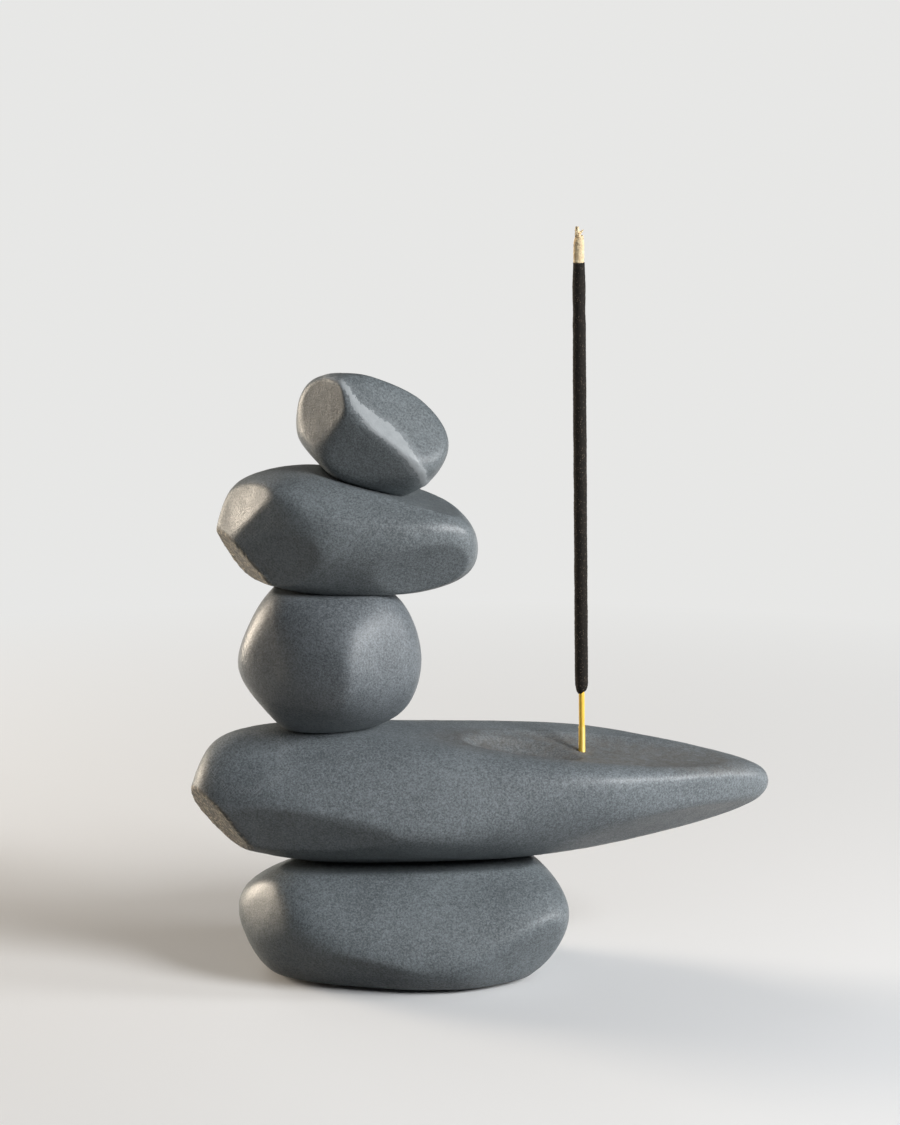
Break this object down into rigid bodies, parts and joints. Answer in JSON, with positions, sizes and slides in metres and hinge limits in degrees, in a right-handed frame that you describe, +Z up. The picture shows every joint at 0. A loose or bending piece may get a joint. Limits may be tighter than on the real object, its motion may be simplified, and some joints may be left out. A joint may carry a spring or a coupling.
{
  "type": "incense burner",
  "caption": "Incense burner of stacked river pebbles on hidden dowels, with an ash hollow and a drilled socket that holds an upright incense stick.",
  "frame": {"origin": "middle of the foot pad's underside, on the surface that the burner stands on", "axes": "+Z up, +X towards the pointed end of the long stone with the ash hollow, +Y away from the viewer at azimuth 0"},
  "size_m": [0.1345, 0.0598, 0.1703],
  "materials": {
    "stone": "satin",
    "dowel_steel": "satin",
    "felt": "matte",
    "bamboo": "matte",
    "incense_paste": "matte",
    "ash": "matte"
  },
  "bodies": {
    "burner": {"foot_pad": "felt", "base_stone": "stone", "dish_stone": "stone", "middle_stone": "stone", "shoulder_stone": "stone", "top_stone": "stone", "base_dowel": "dowel_steel", "middle_dowel": "dowel_steel", "shoulder_dowel": "dowel_steel", "top_dowel": "dowel_steel"},
    "stick": {"bamboo_core": "bamboo", "incense_coating": "incense_paste", "ash_tip": "ash"}
  },
  "joints": [
    {"name": "stick_lift", "type": "slide", "parent": "burner", "child": "stick", "axis": [-0.0122, 0, 0.9999], "range_m": [0, 0.03]}
  ]
}
